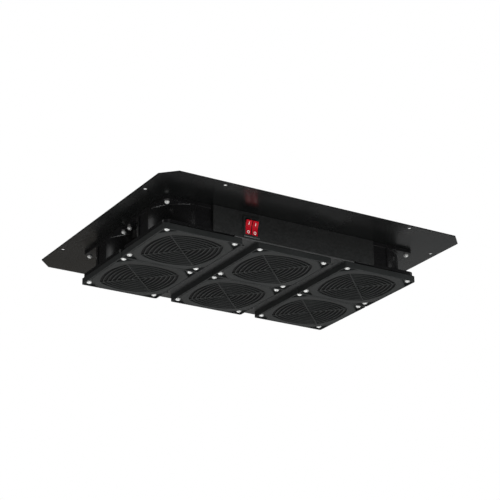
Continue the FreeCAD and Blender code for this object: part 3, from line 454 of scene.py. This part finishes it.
# rocker: side profile in y and z about its pivot, y towards the back, hollow front face
rockerSizes = {"front": -7.3, "half": 10.3, "hollow": 27.0, "width": 9.3, "edge": 0.55, "rest": 11.0,
               "pivot": (-72.4, -119.7, 26.45), "aside": 5.2, "profilePoints": 180, "softenings": 4,
               "back": ((1.2, -9.0), (4.0, -3.0), (4.0, 3.0), (1.2, 9.0))}
legendSizes = {"barHalf": (0.42, 2.1), "barLevel": 5.6, "ring": (2.1, 2.2), "ringLevel": -6.4,
               "stroke": 0.8, "proud": 0.07, "sunk": 0.25}


def faceDepth(z, sizes):
    # the hollow face is an arc of the given radius through both ends
    hollow, half = sizes["hollow"], sizes["half"]
    return sizes["front"] + np.sqrt(hollow ** 2 - z ** 2) - math.sqrt(hollow ** 2 - half ** 2)


def turnedToRest(points, side, sizes):
    a = math.radians(sizes["rest"])
    x, y, z = points[..., 0], points[..., 1], points[..., 2]
    place = np.array(sizes["pivot"]) + (side * sizes["aside"], 0, 0)
    turned = (x, y * math.cos(a) - z * math.sin(a), y * math.sin(a) + z * math.cos(a))
    return np.stack(turned, axis=-1) + place


def rockerShape(side, sizes):
    face = np.linspace(sizes["half"], -sizes["half"], 25)
    loop = np.concatenate((np.stack((faceDepth(face, sizes), face), axis=-1), np.array(sizes["back"])))
    # a fine resampling, then each point moves towards the mean of its neighbours to soften the corners
    closed = np.concatenate((loop, loop[:1]))
    run = np.concatenate(([0], np.cumsum(np.linalg.norm(np.diff(closed, axis=0), axis=1))))
    steps = np.linspace(0, run[-1], sizes["profilePoints"], endpoint=False)
    loop = np.stack([np.interp(steps, run, closed[:, i]) for i in (0, 1)], axis=-1)
    for again in range(sizes["softenings"]):
        loop = (np.roll(loop, 1, axis=0) + 2 * loop + np.roll(loop, -1, axis=0)) / 4
    tangent = np.roll(loop, -1, axis=0) - np.roll(loop, 1, axis=0)
    outward = np.stack((tangent[:, 1], -tangent[:, 0]), axis=-1)
    outward = outward / np.linalg.norm(tangent, axis=1)[:, None]
    if np.einsum("ij,ij->", outward, loop - loop.mean(axis=0)) < 0:
        outward = -outward
    bend = np.linspace(0, np.pi / 2, 5)
    inset = sizes["edge"] * np.concatenate((1 - np.sin(bend), 1 - np.sin(bend[::-1])))
    half = sizes["width"] / 2
    rounding = sizes["edge"] * (1 - np.cos(bend))
    across = np.concatenate((rounding - half, half - rounding[::-1]))
    points = np.stack([np.concatenate((np.full((len(loop), 1), x), loop - outward * i), axis=1)
                       for x, i in zip(across, inset)])
    return facedOutward(wrapGrid(turnedToRest(points, side, sizes), poles=(True, True)))


def legendShape(side, sizes, legend):
    # a bar with round ends above and a ring below, a little proud of the face
    angles = np.linspace(0, 2 * np.pi, 40, endpoint=False)
    halfWidth, halfHeight = legend["barHalf"]
    straight = halfHeight - halfWidth
    ends = np.where(np.sin(angles) >= 0, straight, -straight)
    bar = np.stack((halfWidth * np.cos(angles), halfWidth * np.sin(angles) + ends + legend["barLevel"]),
                   axis=-1)
    across, tall = legend["ring"]
    outer = np.stack((across * np.cos(angles), tall * np.sin(angles) + legend["ringLevel"]), axis=-1)
    inner = np.stack(((across - legend["stroke"]) * np.cos(angles),
                      (tall - legend["stroke"]) * np.sin(angles) + legend["ringLevel"]), axis=-1)

    def raised(edge, depth):
        y = faceDepth(edge[:, 1], sizes) + depth
        return np.stack((edge[:, 0], y, edge[:, 1]), axis=-1)

    out, deep = -legend["proud"], legend["sunk"]
    barPoints = np.stack((raised(bar, deep), raised(bar, out)))
    ringPoints = np.stack((raised(outer, deep), raised(outer, out),
                           raised(inner, out), raised(inner, deep)))
    return joined(facedOutward(wrapGrid(turnedToRest(barPoints, side, sizes), poles=(True, True))),
                  facedOutward(wrapGrid(turnedToRest(ringPoints, side, sizes), looped=True)))


for side, word in ((-1, "left"), (1, "right")):
    newPiece(f"rocker{word.title()}Detailed", rockerShape(side, rockerSizes), "redPolycarbonate",
             body=f"rocker_{word}_body", stands=f"rocker_{word}", sharp=60)
    newPiece(f"rocker{word.title()}Legend", legendShape(side, rockerSizes, legendSizes), "whiteInk",
             body=f"rocker_{word}_body")
print("rockers made")

# gland: rows of radius, distance from the wall and ring shape, from the thread to the dome and back
glandSizes = {"place": (72.4, 131.05, 29.55), "columns": 120, "ribs": 20,
              "ribDepth": 0.45, "ribRadius": 9.0, "rows": (
    (4.0, 2.0, "round"), (4.0, -6.2, "round"), (7.0, -6.2, "round"), (7.5, -5.7, "round"),
    (7.6, 0.0, "round"), (9.2, 0.0, "round"), (9.5, 0.4, "hexagon"), (9.5, 4.6, "hexagon"),
    (9.2, 5.0, "round"), (8.5, 5.05, "round"), (8.5, 5.5, "round"), (9.0, 5.6, "round"),
    (9.0, 6.0, "ribbed"), (9.0, 8.0, "ribbed"), (9.0, 10.0, "ribbed"), (9.0, 12.6, "ribbed"),
    (8.8, 13.8, "ribbed"), (8.3, 15.2, "round"), (7.6, 17.0, "round"), (6.9, 18.4, "round"),
    (6.4, 18.9, "round"), (5.9, 19.0, "round"), (5.4, 18.8, "round"), (5.2, 18.3, "round"),
    (5.1, 17.6, "round"), (4.3, 17.4, "round"), (4.0, 17.0, "round"), (4.0, 10.0, "round"))}


def glandShape(sizes):
    angles = np.linspace(0, 2 * np.pi, sizes["columns"], endpoint=False)
    rings = {"round": np.ones_like(angles),
             "ribbed": 1 - sizes["ribDepth"] / sizes["ribRadius"] * (np.cos(sizes["ribs"] * angles) < 0),
             "hexagon": 1 / np.cos((angles + np.pi / 6) % (np.pi / 3) - np.pi / 6)}
    points = np.stack([np.stack((r * rings[kind] * np.cos(angles), np.full_like(angles, out),
                                 r * rings[kind] * np.sin(angles)), axis=-1)
                       for r, out, kind in sizes["rows"]])
    return facedOutward(wrapGrid(points + np.array(sizes["place"]), looped=True))


newPiece("cableGlandDetailed", glandShape(glandSizes), "blackNylon",
         stands="cable_gland")
print("gland made")


# studio

# room: the horizon and its blur in degrees, the heights of the ceiling's edge and the distances to the
# right over which the backdrop turns grey in metres
# lamps: azimuth from the front towards the right and elevation in degrees, the rest in metres and watts
studio = {
    "floorLevel": -3.0, "floorHalf": 12.0, "floorColour": "#f4f4f2", "ambient": 0.45,
    "roomRadius": 9.0, "horizon": -22.0, "horizonBlur": 0.35,
    "ground": "#0f1010", "backdropWarm": "#84807a", "backdropGrey": "#acadad", "ceiling": "#2c2d2d",
    "ceilingEdge": (-0.9, 0.9), "warmToGrey": (4.0, 5.2),
    "lamps": {
        "under": {"azimuth": -15, "elevation": -52, "distance": 3.0, "size": (1.8, 1.8), "power": 36},
        "underRight": {"azimuth": 52, "elevation": -52, "distance": 3.0, "size": (0.7, 0.7), "power": 16},
        "underLeft": {"azimuth": -107, "elevation": -52, "distance": 3.0, "size": (0.9, 0.9),
                      "power": 28},
        "right": {"azimuth": 65, "elevation": 16, "distance": 3.6, "size": (1.2, 2.4), "power": 12},
        "front": {"azimuth": -3, "elevation": 22, "distance": 3.6, "size": (1.2, 1.6), "power": 46,
                  "unseen": True},
        "frontStrip": {"azimuth": -1, "elevation": 20, "distance": 3.6, "size": (0.3, 2.2), "power": 5},
        "left": {"azimuth": -112.6, "elevation": 18, "distance": 3.6, "size": (0.8, 2.4), "power": 12},
        "back": {"azimuth": -173, "elevation": 22, "distance": 3.6, "size": (0.8, 1.6), "power": 30,
                 "unseen": True},
        "behind": {"azimuth": 150, "elevation": -50, "distance": 3.0, "size": (1.2, 1.2), "power": 12},
        "top": {"azimuth": 40, "elevation": 72, "distance": 3.4, "size": (2.4, 2.4), "power": 60},
    },
}


def direction(azimuth, elevation):
    # a unit vector from azimuth and elevation in degrees
    turn, lift = math.radians(azimuth), math.radians(elevation)
    return Vector((math.sin(turn) * math.cos(lift), -math.cos(turn) * math.cos(lift), math.sin(lift)))


def aimedLamp(name, lamp):
    # a soft box turned to the middle of the tray
    light = bpy.data.lights.new(name, "AREA")
    light.shape = "RECTANGLE"
    light.size, light.size_y = lamp["size"]
    light.energy = lamp["power"]
    holder = bpy.data.objects.new(name, light)
    bpy.context.scene.collection.objects.link(holder)
    towards = direction(lamp["azimuth"], lamp["elevation"])
    holder.location = towards * lamp["distance"]
    holder.rotation_mode = "QUATERNION"
    holder.rotation_quaternion = towards.to_track_quat("Z", "Y")
    holder.visible_camera = False
    holder.visible_glossy = not lamp.get("unseen", False)


for name, lamp in studio["lamps"].items():
    aimedLamp(name, lamp)


def stageSurface(name, corners, material):
    # a grid of points, rows by columns by three, as a surface of quads
    rows, columns = corners.shape[:2]
    index = np.arange(rows * columns).reshape(rows, columns)
    quads = np.stack((index[:-1, :-1], index[:-1, 1:], index[1:, 1:], index[1:, :-1]), axis=-1)
    mesh = bpy.data.meshes.new(name)
    mesh.from_pydata(corners.reshape(-1, 3).tolist(), [], quads.reshape(-1, 4).tolist())
    mesh.materials.append(material)
    stagePiece = bpy.data.objects.new(name, mesh)
    bpy.context.scene.collection.objects.link(stagePiece)
    return stagePiece


white = (1.0, 1.0, 1.0, 1.0)


def directRays(tree):
    # 1 for camera, glossy and transmission rays, 0 for the rest
    rays = addNode(tree, "ShaderNodeLightPath").outputs
    seen = rays["Is Camera Ray"]
    for kind in ("Is Glossy Ray", "Is Transmission Ray"):
        seen = addNode(tree, "ShaderNodeMath", {0: seen, 1: rays[kind]}, operation="MAXIMUM").outputs[0]
    return seen


def paperMaterial(name, colour):
    # matt background paper; the camera and mirrored views see plain white, the tray gets its bounce
    material, tree = emptyMaterial(name)
    paper = addNode(tree, "ShaderNodeBsdfDiffuse", {"Color": linear(colour)}).outputs[0]
    plain = addNode(tree, "ShaderNodeEmission", {"Color": white, "Strength": 1.0}).outputs[0]
    surface = addNode(tree, "ShaderNodeMixShader", {0: directRays(tree), 1: paper, 2: plain}).outputs[0]
    addNode(tree, "ShaderNodeOutputMaterial", {"Surface": surface})
    material.cycles.emission_sampling = "NONE"
    return material


def roomMaterial(name):
    # what the gloss shows: a dark ground up to the horizon, a dim backdrop above it and a darker ceiling
    material, tree = emptyMaterial(name)
    place = addNode(tree, "ShaderNodeTexCoord").outputs["Object"]
    axes = addNode(tree, "ShaderNodeSeparateXYZ", {0: place}).outputs
    lifts = [math.radians(studio["horizon"] + side * studio["horizonBlur"]) for side in (-1, 1)]
    aboveGround = ranged(tree, axes[2], [studio["roomRadius"] * math.sin(a) for a in lifts])
    aboveBackdrop = ranged(tree, axes[2], studio["ceilingEdge"])
    sideways = ranged(tree, axes[0], studio["warmToGrey"])
    backdrop = mixedColour(tree, sideways, linear(studio["backdropWarm"]), linear(studio["backdropGrey"]))
    lower = mixedColour(tree, aboveGround, linear(studio["ground"]), backdrop)
    whole = mixedColour(tree, aboveBackdrop, lower, linear(studio["ceiling"]))
    glow = addNode(tree, "ShaderNodeEmission", {"Color": whole, "Strength": 1.0}).outputs[0]
    addNode(tree, "ShaderNodeOutputMaterial", {"Surface": glow})
    material.cycles.emission_sampling = "NONE"
    return material


half = studio["floorHalf"]
across, along = np.meshgrid([-half, half], [-half, half])
floorCorners = np.stack((across, along, np.full((2, 2), studio["floorLevel"])), axis=-1)
floor = stageSurface("studioFloor", floorCorners, paperMaterial("backgroundPaper", studio["floorColour"]))
floor.visible_glossy = False
turn, lift = np.meshgrid(np.linspace(0, 2 * np.pi, 49), np.linspace(-np.pi / 2, np.pi / 2, 25))
sphere = np.stack((np.cos(turn) * np.cos(lift), np.sin(turn) * np.cos(lift), np.sin(lift)), axis=-1)
room = stageSurface("studioRoom", studio["roomRadius"] * sphere, roomMaterial("dimStudioRoom"))
for kind in ("camera", "diffuse", "transmission", "volume_scatter", "shadow"):
    setattr(room, "visible_" + kind, False)

world = bpy.data.worlds.new("studio")
bpy.context.scene.world = world
world.use_nodes = True
tree = world.node_tree
tree.nodes.clear()
strength = ranged(tree, directRays(tree), (0.0, 1.0), (studio["ambient"], 1.0))
glow = addNode(tree, "ShaderNodeBackground", {"Color": white, "Strength": strength})
addNode(tree, "ShaderNodeOutputWorld", {"Surface": glow.outputs[0]})
print("studio lit")

bpy.context.scene.view_settings.view_transform = "Standard"
